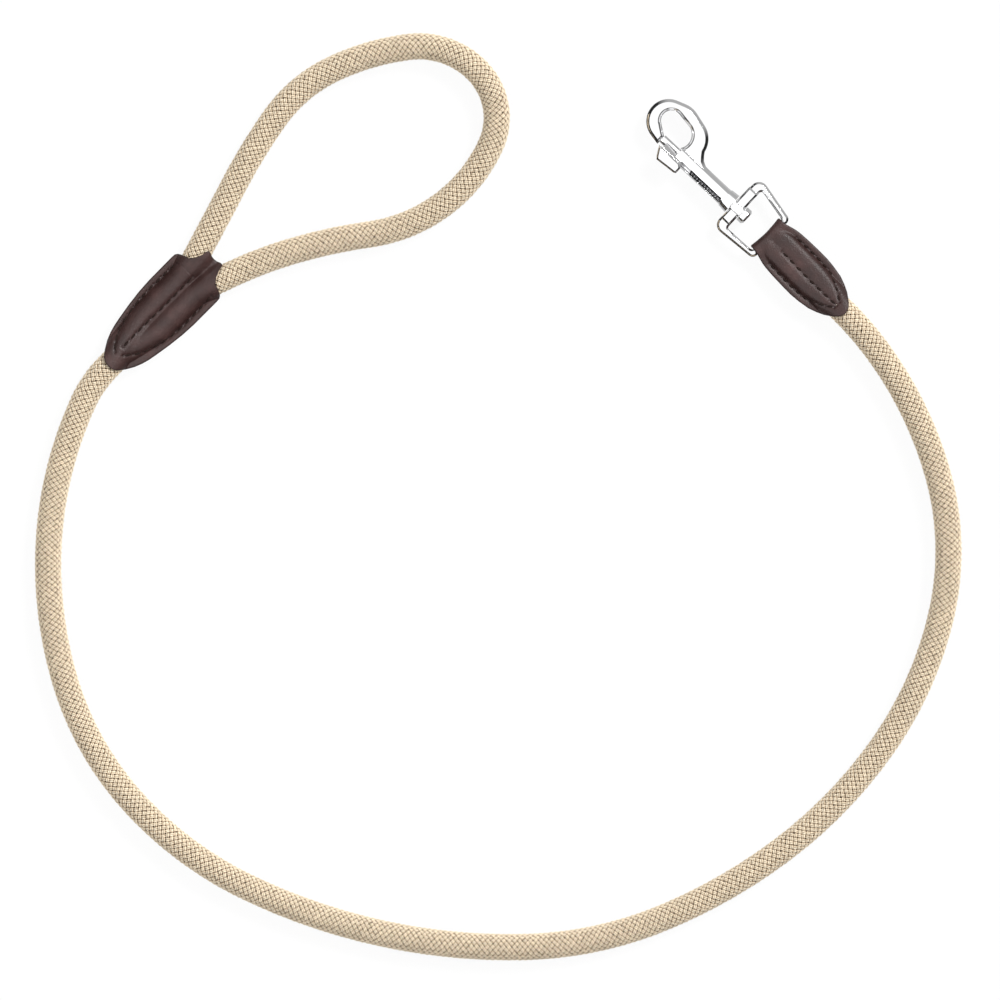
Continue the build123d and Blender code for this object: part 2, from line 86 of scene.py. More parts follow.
class Frame:
    """Flat frame: t along the heading, v to its left, z above the cord's centre level."""

    def __init__(self, origin, head):
        self.o, self.head = np.array(origin, float), head
        self.a, self.b = unit(head), unit(head + 90)

    def at(self, t, v=0.0):
        return self.o + t * self.a + v * self.b

    def world(self, t, v, z):
        t, v, z = np.broadcast_arrays(np.asarray(t, float), np.asarray(v, float), np.asarray(z, float))
        xy = self.o + t[..., None] * self.a + v[..., None] * self.b
        return np.concatenate([xy, (z + ZC)[..., None]], -1)


class Line:
    """Flat curve made of arcs, read at any run length; it goes straight on past both ends."""

    def __init__(self, start, head, runs):
        self.s = [0.0]
        self.p, self.h, self.k = [np.array(start, float)], [math.radians(head)], []
        for length, turn in runs:
            k = math.radians(turn) / length
            p, h = self.p[-1], self.h[-1]
            if abs(k) < 1e-9:
                q = p + length * np.array([math.cos(h), math.sin(h)])
            else:
                q = p + np.array([math.sin(h + k * length) - math.sin(h), math.cos(h) - math.cos(h + k * length)]) / k
            self.k.append(k)
            self.p.append(q)
            self.h.append(h + k * length)
            self.s.append(self.s[-1] + length)
        self.length = self.s[-1]
        # straight runs before and after
        self.ks = np.array([0.0] + self.k + [0.0])
        self.ps = np.array([self.p[0]] + self.p[:-1] + [self.p[-1]])
        self.hs = np.array([self.h[0]] + self.h[:-1] + [self.h[-1]])
        self.ss = np.array([0.0] + self.s[:-1] + [self.s[-1]])

    def read(self, s):
        s = np.asarray(s, float)
        i = np.searchsorted(np.array(self.s), s, side="right")
        i = np.clip(i, 0, len(self.ks) - 1)
        d = s - self.ss[i]
        k, h, p = self.ks[i], self.hs[i], self.ps[i]
        kk = np.where(np.abs(k) < 1e-9, 1.0, k)
        bent = np.stack([(np.sin(h + k * d) - np.sin(h)) / kk, (np.cos(h) - np.cos(h + k * d)) / kk], -1)
        flat = np.stack([d * np.cos(h), d * np.sin(h)], -1)
        q = p + np.where((np.abs(k) < 1e-9)[..., None], flat, bent)
        return q, h + k * d

    def tube(self, s, phi, rho):
        """World point at run length s, angle phi round the cord and radius rho."""
        q, h = self.read(s)
        left = np.stack([-np.sin(h), np.cos(h)], -1)
        xy = q + (rho * np.cos(phi))[..., None] * left
        return np.concatenate([xy, (ZC + rho * np.sin(phi))[..., None]], -1)


splice = Frame(shift(SPLICE_C), SPLICE_HEAD)
lead_runs = [(LEAD_END_LEN if i in (0, 13) else LEAD_MID_LEN, t) for i, t in enumerate(LEAD_TURNS)]
lead = Line(splice.at(36.0), LEAD_HEAD, lead_runs)
k0 = (LOOP_LEN - LOOP_OUT) / LOOP_LEN
_first = Line(shift(LOOP_A), LOOP_HEAD, [(LOOP_OUT, LOOP_TURNS[0] * (1 - k0))])
loop_runs = [(LOOP_LEN * k0, LOOP_TURNS[0] * k0)] + [(LOOP_LEN, t) for t in LOOP_TURNS[1:-1]] + [(LOOP_LEN * k0, LOOP_TURNS[-1] * k0)]
loop = Line(_first.p[-1], math.degrees(_first.h[-1]), loop_runs)
tab = Frame(lead.p[-1] + TAB_TO_TIP * np.array([math.cos(lead.h[-1]), math.sin(lead.h[-1])]), math.degrees(lead.h[-1]) + 180)
snap = Frame(tab.at(BAR_T) - EYE_FAR * unit(SNAP_HEAD), SNAP_HEAD)

# the numbers above must be the record's own
for j in frame["joints"]:
    if j["name"] == "lead_curl_13":
        assert abs(j["pos_m"][0] - lead.p[13][0] * MM) < 2e-5 and abs(j["pos_m"][1] - lead.p[13][1] * MM) < 2e-5
    if j["name"] == "hook_swivel":
        assert abs(j["pos_m"][0] - snap.at(0, AXIS_N)[0] * MM) < 2e-5


# ---- mesh helpers -------------------------------------------------------------
def make(name, verts, faces, mats, smooth=True, face_mat=None, attrs=None, uv=None):
    """Mesh object from numpy arrays. verts in mm."""
    me = bpy.data.meshes.new(name)
    verts = np.asarray(verts, float).reshape(-1, 3) * MM
    faces = np.asarray(faces, np.int64)
    n, w = faces.shape
    me.vertices.add(len(verts))
    me.vertices.foreach_set("co", verts.astype(np.float32).ravel())
    me.loops.add(n * w)
    me.loops.foreach_set("vertex_index", faces.astype(np.int32).ravel())
    me.polygons.add(n)
    me.polygons.foreach_set("loop_start", (np.arange(n) * w).astype(np.int32))
    me.polygons.foreach_set("loop_total", np.full(n, w, np.int32))
    me.polygons.foreach_set("use_smooth", np.full(n, smooth))
    for m in mats if isinstance(mats, (list, tuple)) else [mats]:
        me.materials.append(m)
    if face_mat is not None:
        me.polygons.foreach_set("material_index", np.asarray(face_mat, np.int32))
    for key, val in (attrs or {}).items():
        a = me.attributes.new(key, "FLOAT", "POINT")
        a.data.foreach_set("value", np.asarray(val, np.float32).ravel())
    if uv is not None:
        layer = me.uv_layers.new(name="Run")
        layer.data.foreach_set("uv", np.asarray(uv, np.float32)[faces.ravel()].ravel())
    me.update()
    me.validate()
    ob = bpy.data.objects.new(name, me)
    bpy.context.scene.collection.objects.link(ob)
    return ob


def grid_faces(n, m, close_n=False, close_m=False, base=0):
    i = np.arange(n if close_n else n - 1)
    j = np.arange(m if close_m else m - 1)
    i, j = np.meshgrid(i, j, indexing="ij")
    i2, j2 = (i + 1) % n, (j + 1) % m
    f = np.stack([i * m + j, i2 * m + j, i2 * m + j2, i * m + j2], -1).reshape(-1, 4)
    return f + base


# ---- materials ----------------------------------------------------------------
def material(name):
    m = bpy.data.materials.new(name)
    m.use_nodes = True
    nt = m.node_tree
    bsdf = nt.nodes["Principled BSDF"]
    return m, nt, bsdf


def node(nt, kind, **values):
    nd = nt.nodes.new(kind)
    for k, v in values.items():
        if k in nd.inputs:
            nd.inputs[k].default_value = v
        else:
            setattr(nd, k, v)
    return nd


def ramp(nt, stops):
    r = nt.nodes.new("ShaderNodeValToRGB")
    el = r.color_ramp.elements
    while len(el) < len(stops):
        el.new(0.5)
    for e, (pos, col) in zip(el, stops):
        e.position = pos
        e.color = (*col, 1.0)
    return r


def cord_material():
    m, nt, b = material("cord_braid")
    # the 'height' attribute carries painted light: 0 is painted shade in the gaps and where a strand dips under, 1 is
    # painted highlight on the strand tops
    h = node(nt, "ShaderNodeAttribute", attribute_name="height")
    tone = node(nt, "ShaderNodeAttribute", attribute_name="tone")
    # ramp from near-black painted shade through the cord's tan to a cream painted highlight
    col = ramp(nt, [(0.0, (0.020, 0.013, 0.007)), (0.22, (0.15, 0.102, 0.058)), (0.50, (0.76, 0.595, 0.410)), (0.88, (1.0, 0.91, 0.72))])
    nt.links.new(h.outputs["Fac"], col.inputs["Fac"])
    uvn = node(nt, "ShaderNodeUVMap", uv_map="Run")
    mp = node(nt, "ShaderNodeMapping")
    mp.inputs["Scale"].default_value = (26.0, 340.0, 1.0)
    nt.links.new(uvn.outputs["UV"], mp.inputs["Vector"])
    fib = node(nt, "ShaderNodeTexNoise", Scale=6.0, Detail=3.0)
    nt.links.new(mp.outputs["Vector"], fib.inputs["Vector"])
    mix = node(nt, "ShaderNodeMix", data_type="RGBA", blend_type="MULTIPLY")
    mix.inputs[0].default_value = 1.0
    shade = node(nt, "ShaderNodeMapRange")
    shade.inputs["To Min"].default_value = 0.72
    shade.inputs["To Max"].default_value = 1.14
    nt.links.new(fib.outputs["Fac"], shade.inputs["Value"])
    mul = node(nt, "ShaderNodeMath", operation="MULTIPLY")
    nt.links.new(shade.outputs["Result"], mul.inputs[0])
    nt.links.new(tone.outputs["Fac"], mul.inputs[1])
    nt.links.new(col.outputs["Color"], mix.inputs[6])
    nt.links.new(mul.outputs["Value"], mix.inputs[7])
    nt.links.new(mix.outputs[2], b.inputs["Base Color"])
    bump = node(nt, "ShaderNodeBump", Strength=0.35, Distance=0.0002)
    nt.links.new(fib.outputs["Fac"], bump.inputs["Height"])
    nt.links.new(bump.outputs["Normal"], b.inputs["Normal"])
    b.inputs["Roughness"].default_value = 0.78
    b.inputs["Specular IOR Level"].default_value = 0.25
    b.inputs["Sheen Weight"].default_value = 0.25
    b.inputs["Sheen Roughness"].default_value = 0.5
    return m


def core_shade_material():
    m, nt, b = material("cord_inside_painted_shade")
    n1 = node(nt, "ShaderNodeTexNoise", Scale=900.0, Detail=2.0)
    # near-black brown: painted shade for the inside that shows between the strands
    col = ramp(nt, [(0.3, (0.040, 0.027, 0.014)), (0.7, (0.085, 0.058, 0.032))])
    nt.links.new(n1.outputs["Fac"], col.inputs["Fac"])
    nt.links.new(col.outputs["Color"], b.inputs["Base Color"])
    b.inputs["Roughness"].default_value = 0.95
    b.inputs["Specular IOR Level"].default_value = 0.1
    return m


def leather_material():
    m, nt, b = material("leather_dark")
    tc = node(nt, "ShaderNodeTexCoord")
    big = node(nt, "ShaderNodeTexNoise", Scale=110.0, Detail=4.0, Roughness=0.6)
    nt.links.new(tc.outputs["Object"], big.inputs["Vector"])
    col = ramp(nt, [(0.25, (0.018, 0.0068, 0.0056)), (0.55, (0.036, 0.0142, 0.0122)), (0.85, (0.070, 0.031, 0.028))])
    nt.links.new(big.outputs["Fac"], col.inputs["Fac"])
    # the 'edge' attribute darkens the leather towards the rim, and is painted shade round the stitch holes and over
    # the whole inner face
    edge = node(nt, "ShaderNodeAttribute", attribute_name="edge")
    mix = node(nt, "ShaderNodeMix", data_type="RGBA", blend_type="MIX")
    # near-black brown for the rim, and painted shade for the holes and the inner face
    mix.inputs[7].default_value = (0.020, 0.010, 0.009, 1.0)
    nt.links.new(edge.outputs["Fac"], mix.inputs[0])
    nt.links.new(col.outputs["Color"], mix.inputs[6])
    nt.links.new(mix.outputs[2], b.inputs["Base Color"])
    grain = node(nt, "ShaderNodeTexVoronoi", Scale=1500.0)
    grain.feature = "SMOOTH_F1"
    fine = node(nt, "ShaderNodeTexNoise", Scale=2600.0, Detail=4.0)
    nt.links.new(tc.outputs["Object"], grain.inputs["Vector"])
    nt.links.new(tc.outputs["Object"], fine.inputs["Vector"])
    add = node(nt, "ShaderNodeMath", operation="ADD")
    nt.links.new(grain.outputs["Distance"], add.inputs[0])
    nt.links.new(fine.outputs["Fac"], add.inputs[1])
    bump = node(nt, "ShaderNodeBump", Strength=0.55, Distance=0.0002)
    nt.links.new(add.outputs["Value"], bump.inputs["Height"])
    crease = node(nt, "ShaderNodeTexNoise", Scale=260.0, Detail=5.0, Roughness=0.55)
    nt.links.new(tc.outputs["Object"], crease.inputs["Vector"])
    bump2 = node(nt, "ShaderNodeBump", Strength=0.35, Distance=0.0005)
    nt.links.new(crease.outputs["Fac"], bump2.inputs["Height"])
    nt.links.new(bump.outputs["Normal"], bump2.inputs["Normal"])
    nt.links.new(bump2.outputs["Normal"], b.inputs["Normal"])
    rr = node(nt, "ShaderNodeMapRange")
    rr.inputs["To Min"].default_value = 0.36
    rr.inputs["To Max"].default_value = 0.58
    nt.links.new(big.outputs["Fac"], rr.inputs["Value"])
    nt.links.new(rr.outputs["Result"], b.inputs["Roughness"])
    b.inputs["Specular IOR Level"].default_value = 0.42
    return m


def thread_material():
    m, nt, b = material("thread_waxed")
    tc = node(nt, "ShaderNodeTexCoord")
    n1 = node(nt, "ShaderNodeTexNoise", Scale=2400.0, Detail=2.0)
    nt.links.new(tc.outputs["Object"], n1.inputs["Vector"])
    col = ramp(nt, [(0.3, (0.010, 0.006, 0.005)), (0.7, (0.030, 0.017, 0.014))])
    nt.links.new(n1.outputs["Fac"], col.inputs["Fac"])
    nt.links.new(col.outputs["Color"], b.inputs["Base Color"])
    bump = node(nt, "ShaderNodeBump", Strength=0.4, Distance=0.0001)
    nt.links.new(n1.outputs["Fac"], bump.inputs["Height"])
    nt.links.new(bump.outputs["Normal"], b.inputs["Normal"])
    b.inputs["Roughness"].default_value = 0.8
    b.inputs["Specular IOR Level"].default_value = 0.12
    return m


def chrome_material(name, base=(0.80, 0.80, 0.805), rough=0.085):
    m, nt, b = material(name)
    tc = node(nt, "ShaderNodeTexCoord")
    n1 = node(nt, "ShaderNodeTexNoise", Scale=420.0, Detail=3.0)
    nt.links.new(tc.outputs["Object"], n1.inputs["Vector"])
    rr = node(nt, "ShaderNodeMapRange")
    rr.inputs["To Min"].default_value = rough * 0.7
    rr.inputs["To Max"].default_value = rough * 1.5
    nt.links.new(n1.outputs["Fac"], rr.inputs["Value"])
    nt.links.new(rr.outputs["Result"], b.inputs["Roughness"])
    bump = node(nt, "ShaderNodeBump", Strength=0.10, Distance=0.0003)
    nt.links.new(n1.outputs["Fac"], bump.inputs["Height"])
    nt.links.new(bump.outputs["Normal"], b.inputs["Normal"])
    b.inputs["Base Color"].default_value = (*base, 1.0)
    b.inputs["Metallic"].default_value = 1.0
    return m


CORD, INSIDE_SHADE, HIDE, THREAD = cord_material(), core_shade_material(), leather_material(), thread_material()
CHROME = chrome_material("chrome_cast")
STEEL = chrome_material("steel_wire", (0.55, 0.55, 0.57), 0.25)

# ---- braid --------------------------------------------------------------------
CARRIERS = 12                       # each way
BRAID_K = 2 * math.pi / CARRIERS / 2.45   # radians per mm of cord
MID_R, WAVE = 5.27, 0.37
HALF_W, LOBE = 0.80, 0.52
PROFILE_X = np.array([-1.0, -0.76, -0.38, 0.0, 0.38, 0.76, 1.0])
PROFILE_H = np.array([-0.52, 0.22, 0.42, -0.12, 0.42, 0.22, -0.52])
# painted light across a strand: painted shade at its edges and in the valley between its two lobes, painted highlight
# on the lobes
PROFILE_PAINTED_LIGHT = np.array([0.0, 0.46, 1.0, 0.22, 1.0, 0.46, 0.0])
STEP = 0.32
strand_tone = 1.0 + 0.05 * rng.standard_normal((2, CARRIERS))
sway = rng.uniform(0, 2 * math.pi, (2, CARRIERS, 3))       # hand of the braider: strands wander a little


def braid(name, line, s0, s1, squeeze=None):
    """Both families of strands and the dark inside tube, whose near-black colour is painted shade in the gaps, from
    run length s0 to s1.
    """
    n = max(8, int(round((s1 - s0) / STEP)) + 1)
    s = np.linspace(s0, s1, n)
    verts, faces, painted_light_values, tones, uvs, mats = [], [], [], [], [], []
    base = 0
    alpha = math.atan(MID_R * BRAID_K)
    for fam, sign in ((0, 1.0), (1, -1.0)):
        for i in range(CARRIERS):
            phi = 2 * math.pi * i / CARRIERS + sign * BRAID_K * s
            rad = MID_R + sign * WAVE * np.cos(CARRIERS * phi)
            w = sway[fam, i]
            phi = phi + 0.022 * np.sin(s * 0.91 + w[0]) + 0.018 * np.sin(s * 2.3 + w[1])
            rad = rad + 0.05 * np.sin(s * 1.7 + w[2])
            x = PROFILE_X[None, :] * HALF_W
            ss = s[:, None] - sign * x * math.sin(alpha)
            pp = phi[:, None] + x * math.cos(alpha) / MID_R
            rr = rad[:, None] + np.broadcast_to(PROFILE_H[None, :] * (LOBE / 0.42), (n, 7))
            over = np.clip(0.5 + (rad - MID_R) / (2 * WAVE), 0, 1)
            # painted shade where the strand dips under the other family
            height = PROFILE_PAINTED_LIGHT[None, :] * (0.10 + 0.90 * over[:, None] ** 0.75)
            if squeeze is not None:
                rr = rr * squeeze(ss)
            verts.append(line.tube(ss, pp, rr).reshape(-1, 3))
            f = grid_faces(n, 7, base=base)
            faces.append(f if sign > 0 else f)
            painted_light_values.append(np.clip(height, 0, 1).ravel())
            tones.append(np.full(n * 7, strand_tone[fam, i]))
            run = s[:, None] * MM * np.ones((1, 7)) + fam * 0.37 + i * 0.031
            across = np.broadcast_to(x * MM + i * 0.017, (n, 7))
            uvs.append(np.stack([run.ravel(), across.ravel()], -1))
            mats.append(np.zeros(len(f), np.int32))
            base += n * 7
    # the inner tube; its near-black material is painted shade in the gaps
    m = max(4, int(round((s1 - s0) / 2.2)) + 1)
    s_in = np.linspace(s0, s1, m)
    ring = np.arange(20) * 2 * math.pi / 20
    S, P = np.meshgrid(s_in, ring, indexing="ij")
    R = np.full_like(S, 4.75)
    if squeeze is not None:
        R = R * squeeze(S)
    verts.append(line.tube(S, P, R).reshape(-1, 3))
    f = grid_faces(m, 20, close_m=True, base=base)
    faces.append(f)
    painted_light_values.append(np.zeros(m * 20))
    tones.append(np.ones(m * 20))
    uvs.append(np.stack([S.ravel() * MM, P.ravel() * 0.005], -1))
    mats.append(np.ones(len(f), np.int32))
    faces = np.concatenate(faces)
    verts = np.concatenate(verts)
    ob = make(name, verts, faces, [CORD, INSIDE_SHADE], face_mat=np.concatenate(mats),
              attrs={"height": np.concatenate(painted_light_values), "tone": np.concatenate(tones)}, uv=np.concatenate(uvs))
    return ob


marks = [LEAD_END_LEN + LEAD_MID_LEN * i for i in range(13)]     # joints 1..13
mids = [-7.0] + [a + LEAD_MID_LEN / 2 for a in marks[:12]] + [lead.length + 7.0]
for k in range(13):
    s0, s1 = mids[k], mids[k + 1]
    ob = braid(f"lead_braid_{k + 1:02d}", lead, s0, s1)
    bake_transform(ob)
    if k < 12:
        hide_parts(f"lead_sheath_{k + 1:02d}", f"lead_core_{k + 1:02d}")
    else:
        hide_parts("rope_end_sheath", "rope_end_core")
    if k == 0:
        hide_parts("splice_sheath", "splice_core")

ends = [-9.5, 26.0, 110.0, 195.0, 270.0, loop.length - 26.0, loop.length + 9.5]
for k in range(6):
    ob = braid(f"hand_loop_braid_{k + 1}", loop, ends[k], ends[k + 1])
    if k == 0:
        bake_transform(ob)
    elif k == 5:
        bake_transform(ob)
        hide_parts("tail_sheath", "tail_core")
    else:
        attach(ob, "hand_loop")
        if k == 2:
            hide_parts("hand_loop_sheath", "hand_loop_core")


# ---- leather ------------------------------------------------------------------
def smax(a, b, k):
    return 0.5 * (a + b + np.sqrt((a - b) ** 2 + k * k))


def lane_height(t, v, lane, fade=1.2):
    """Round ridge over a cord, lane = [(t, v, r), ...]; flat zero outside its run."""
    T = np.array([p[0] for p in lane])
    V = np.interp(t, T, [p[1] for p in lane])
    R = np.interp(t, T, [p[2] for p in lane])
    d = np.abs(v - V)
    z = np.sqrt(np.maximum(R * R - d * d, 0.0))
    over = np.maximum(T[0] - t, 0) + np.maximum(t - T[-1], 0)
    return np.sqrt(np.maximum(z * z - over * over * fade, 0.0))


def half_width(t, table, tip):
    T = np.array([p[0] for p in table] + [tip - 0.55, tip - 0.15, tip])
    last = table[-1][1]
    W = np.array([p[1] for p in table] + [last * 0.60, last * 0.30, 0.0])
    # round the tip with two extra points; straight lines between the points
    order = np.argsort(T)
    return np.interp(t, T[order], W[order])


def spaced(line, pitch):
    line = np.array(line, float)
    run = np.r_[0, np.cumsum(np.hypot(*np.diff(line, axis=0).T))]
    n = max(2, int(round(run[-1] / pitch)))
    s = np.linspace(0, run[-1], n + 1)
    return np.stack([np.interp(s, run, line[:, 0]), np.interp(s, run, line[:, 1])], -1)


def dense(line, n=160):
    line = np.array(line, float)
    run = np.r_[0, np.cumsum(np.hypot(*np.diff(line, axis=0).T))]
    s = np.linspace(0, run[-1], n)
    p = np.stack([np.interp(s, run, line[:, 0]), np.interp(s, run, line[:, 1])], -1)
    for _ in range(6):
        p[1:-1] = (p[:-2] + 2 * p[1:-1] + p[2:]) / 4
    return p


def near(t, v, pts):
    """Distance to the nearest of a list of points."""
    d = np.full(t.shape, 1e9)
    for a, b in pts:
        d = np.minimum(d, (t - a) ** 2 + (v - b) ** 2)
    return np.sqrt(d)


def stitch_mesh(name, fr, rows_, surface, body, node_name, mirror=True):
    """Threads of one row: a rounded bar from hole to hole, on both faces."""
    verts, faces = [], []
    base = 0
    nl, nr = 11, 8
    for side in ((1, -1) if mirror else (1,)):
        for a, b in zip(rows_, rows_[1:]):
            a, b = np.array(a), np.array(b)
            u = (b - a) / np.hypot(*(b - a))
            w = np.array([-u[1], u[0]])
            f = np.linspace(0, 1, nl)
            lean = 0.16
            mid = a[None, :] + (0.17 + 0.66 * f)[:, None] * (b - a)[None, :] + ((f - 0.5) * lean * 2)[:, None] * w[None, :]
            zc = surface(mid[:, 0], mid[:, 1])
            lift = 0.30 * np.sin(np.pi * f) ** 0.7 - 0.30
            r = 0.42 * np.sqrt(np.maximum(np.sin(np.pi * np.clip(f, 0.02, 0.98)), 0)) ** 0.9 + 0.05
            q = np.arange(nr) * 2 * np.pi / nr
            tt = mid[:, 0][:, None] + r[:, None] * np.cos(q)[None, :] * w[0]
            vv = mid[:, 1][:, None] + r[:, None] * np.cos(q)[None, :] * w[1]
            zz = (zc + lift)[:, None] + 0.85 * r[:, None] * np.sin(q)[None, :]
            verts.append(fr.world(tt, vv, side * zz).reshape(-1, 3))
            faces.append(grid_faces(nl, nr, close_m=True, base=base))
            base += nl * nr
    ob = make(name, np.concatenate(verts), np.concatenate(faces), THREAD)
    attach(ob, body)
    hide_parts(node_name)
    return ob


def mesh_normals_out(ob):
    import bmesh
    bm = bmesh.new()
    bm.from_mesh(ob.data)
    bmesh.ops.remove_doubles(bm, verts=bm.verts, dist=2e-6)
    bmesh.ops.recalc_face_normals(bm, faces=bm.faces)
    bm.to_mesh(ob.data)
    bm.free()


# handle splice
SPLICE_HALF = [(-60.0, 14.2), (-23.0, 14.2), (-19.6, 14.45), (-5.0, 14.4), (2.0, 14.0), (9.5, 13.1),
               (16.8, 11.9), (20.5, 11.2), (24.1, 10.2), (27.8, 8.7), (31.4, 6.6), (34.4, 4.3)]
SPLICE_TIP = 35.9
big, small = ROPE_R + LEATHER, LEG_R + LEATHER


def local(fr, p):
    d = np.array(p) - fr.o
    return float(d @ fr.a), float(d @ fr.b)


mouth_a, mouth_b = shift(LOOP_A), None
_full = Line(shift(LOOP_A), LOOP_HEAD, [(LOOP_LEN, t) for t in LOOP_TURNS])
mouth_b = _full.p[-1]
ma, mb = local(splice, mouth_a), local(splice, mouth_b)
side_a = 1 if ma[1] > 0 else -1


def extend(m, q, r_end):
    """Ridge from outside the mouth through it to the straight run."""
    d = (q[0] - m[0], q[1] - m[1])
    n = math.hypot(*d)
    return (m[0] - 9 * d[0] / n, m[1] - 9 * d[1] / n, r_end)


qa, qb = (-14.0, side_a * LEG_V), (-14.0, -side_a * LEG_V)
lane_a = [extend(ma, qa, big), (ma[0], ma[1], big), (*qa, small), (9.0, side_a * LEG_V, small), (36.0, 0, big), (44.0, 0, big)]
lane_b = [extend(mb, qb, big), (mb[0], mb[1], big), (*qb, small), (TAIL_END + 1, -side_a * LEG_V, small), (30.0, 0.0, small * 0.9)]
splice_rows = {
    "left": dense([(-19.8, 10.8), (-11.0, 11.15), (-1.5, 11.3), (7.5, 10.5), (13.8, 8.9), (19.9, 6.8), (24.1, 4.3), (27.6, 1.4)]),
    "middle": dense([(-20.1, -1.3), (-1.8, -1.3), (7.7, -1.55), (24.9, -1.5)]),
    "right": dense([(-19.2, -10.95), (-12.6, -11.3), (-4.2, -11.5), (4.9, -11.3), (14.1, -9.9), (21.8, -7.7), (25.9, -5.4), (29.2, -2.3)]),
}
CREASE = dense([(-19.4, -10.4), (-20.3, -8.8), (-20.2, -3.2)], 60)     # faint line where the inner lining ends
splice_holes = {k: spaced(v, 4.7) for k, v in splice_rows.items()}
all_rows = np.concatenate([v for v in splice_rows.values()])
all_holes = np.concatenate([v for v in splice_holes.values()])


def splice_bare(t, v):
    z = smax(lane_height(t, v, lane_a), lane_height(t, v, lane_b), 0.9)
    # the web between the two cords stands half filled near the mouth
    f = np.clip((-17.0 - t) / 8.0, 0, 1) * np.clip((7.0 - np.abs(v)) / 4.0, 0, 1)
    z = smax(z, 3.9 * f * f * (3 - 2 * f), 2.2 * f + 0.05)
    return smax(z, LEATHER + 0.05 + 0 * t, 1.3) - 0.22


def splice_top(t, v):
    z = splice_bare(t, v)
    d = near(t, v, all_rows[::2])
    h = near(t, v, all_holes)
    c = near(t, v, CREASE)
    return z - 0.45 * np.exp(-(d / 1.0) ** 2) - 0.35 * np.exp(-(h / 0.55) ** 2) - 0.22 * np.exp(-(c / 0.38) ** 2)


def mouth_edge(v):
    a = np.abs(v)
    return np.interp(a, [0, 1.5, 3.2, 4.7, 5.3, 6.6, 8.6, 10.8, 12.6, 13.6, 14.2],
                     [-32.7, -32.8, -33.6, -33.5, -30.3, -27.2, -24.9, -24.2, -23.4, -22.7, -21.6])


def panel(name, fr, sign, top, bare, start_t, widths, tip, nt, nq, holes):
    """One leather layer: outer face, inner face and a rounded edge all the way round."""
    q = np.sin(np.linspace(-math.pi / 2, math.pi / 2, nq) * 0.94) / math.sin(math.pi / 2 * 0.94)
    p = np.linspace(0, 1, nt)
    p = 1 - (1 - p) ** 1.25
    w0 = 14.2
    v_start = q * w0
    t0 = start_t(v_start)
    T = t0[None, :] + p[:, None] * (tip - t0)[None, :]
    V = q[None, :] * half_width(T, widths, tip)
    Z = top(T, V)
    B = np.maximum(bare(T, V) - LEATHER, 0.06)
    # rounded rim: outer face dips near the edges
    edge = np.minimum((1 - np.abs(q))[None, :] * half_width(T, widths, tip), p[:, None] * 60.0)
    edge = np.minimum(edge, (1 - p)[:, None] * 60.0)
    drop = 0.42 * np.exp(-(edge / 0.42) ** 2)
    Zo = np.maximum(Z - drop, B + 0.55)
    outer = fr.world(T, V, sign * Zo)
    inner = fr.world(T, V, sign * B)
    n, m = T.shape
    verts = np.concatenate([outer.reshape(-1, 3), inner.reshape(-1, 3)])
    f1 = grid_faces(n, m)
    f2 = grid_faces(n, m, base=n * m)[:, ::-1]
    ring = ([(0, j) for j in range(m)] + [(i, m - 1) for i in range(1, n)] + [(n - 1, j) for j in range(m - 2, -1, -1)]
            + [(i, 0) for i in range(n - 2, 0, -1)])
    ids = np.array([i * m + j for i, j in ring])
    nxt = np.roll(ids, -1)
    f3 = np.stack([ids, ids + n * m, nxt + n * m, nxt], -1)
    # darker towards the rim; painted shade round the stitch holes and, with the ones, over the whole inner face
    rim_dark_and_painted_shade = np.concatenate([np.maximum(np.exp(-(edge.ravel() / 0.35) ** 2) * 0.9, 0.85 * np.exp(-(near(T, V, holes).ravel() / 0.5) ** 2)), np.ones(n * m)])
    ob = make(name, verts, np.concatenate([f1, f2, f3]), HIDE, attrs={"edge": rim_dark_and_painted_shade})
    mesh_normals_out(ob)
    return ob


for name, sign in (("handle_leather_front", 1), ("handle_leather_back", -1)):
    ob = panel(name + "_skin", splice, sign, splice_top, splice_bare, mouth_edge, SPLICE_HALF, SPLICE_TIP, 300, 140, all_holes)
    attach(ob, "handle")
    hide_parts(name)
for key, pts in splice_holes.items():
    stitch_mesh(f"handle_thread_{key}", splice, pts, lambda t, v: splice_top(t, v) + 0.24, "handle", f"handle_stitches_{key}")

# snap-end tab
TAB_HALF = [(-30.0, 9.1), (-20.6, 9.1), (-18.8, 9.5), (-16.8, 10.1), (-14.4, 10.75), (-12.0, 11.15), (-7.0, 11.5), (0.0, 11.7),
            (5.0, 11.7), (9.5, 11.3), (15.0, 10.4), (18.7, 9.1), (22.3, 7.4), (25.9, 4.9), (27.6, 3.1)]
bt, st = ROPE_R + LEATHER, TONGUE_R + LEATHER
tab_lanes = [[(TONGUE_START, s * TONGUE_V, st), (6.0, s * TONGUE_V, st), (TAB_TO_TIP, 0, bt), (TAB_TO_TIP + 8, 0, bt)] for s in (1, -1)]
tab_rows = {
    "left": dense([(-11.5, 8.6), (0.0, 8.9), (9.0, 8.5), (15.0, 6.6), (19.5, 4.2), (23.0, 1.6)]),
    "middle": dense([(-11.5, -0.6), (6.0, -0.9), (23.0, -0.3)]),
    "right": dense([(-11.5, -8.6), (0.0, -8.9), (9.0, -8.5), (15.0, -6.6), (19.5, -4.2), (23.0, -1.6)]),
}
tab_holes = {k: spaced(v, 4.2) for k, v in tab_rows.items()}
tab_all = np.concatenate([v for v in tab_rows.values()])
tab_pts = np.concatenate([v for v in tab_holes.values()])
FOLD_R = 1.6 + LEATHER


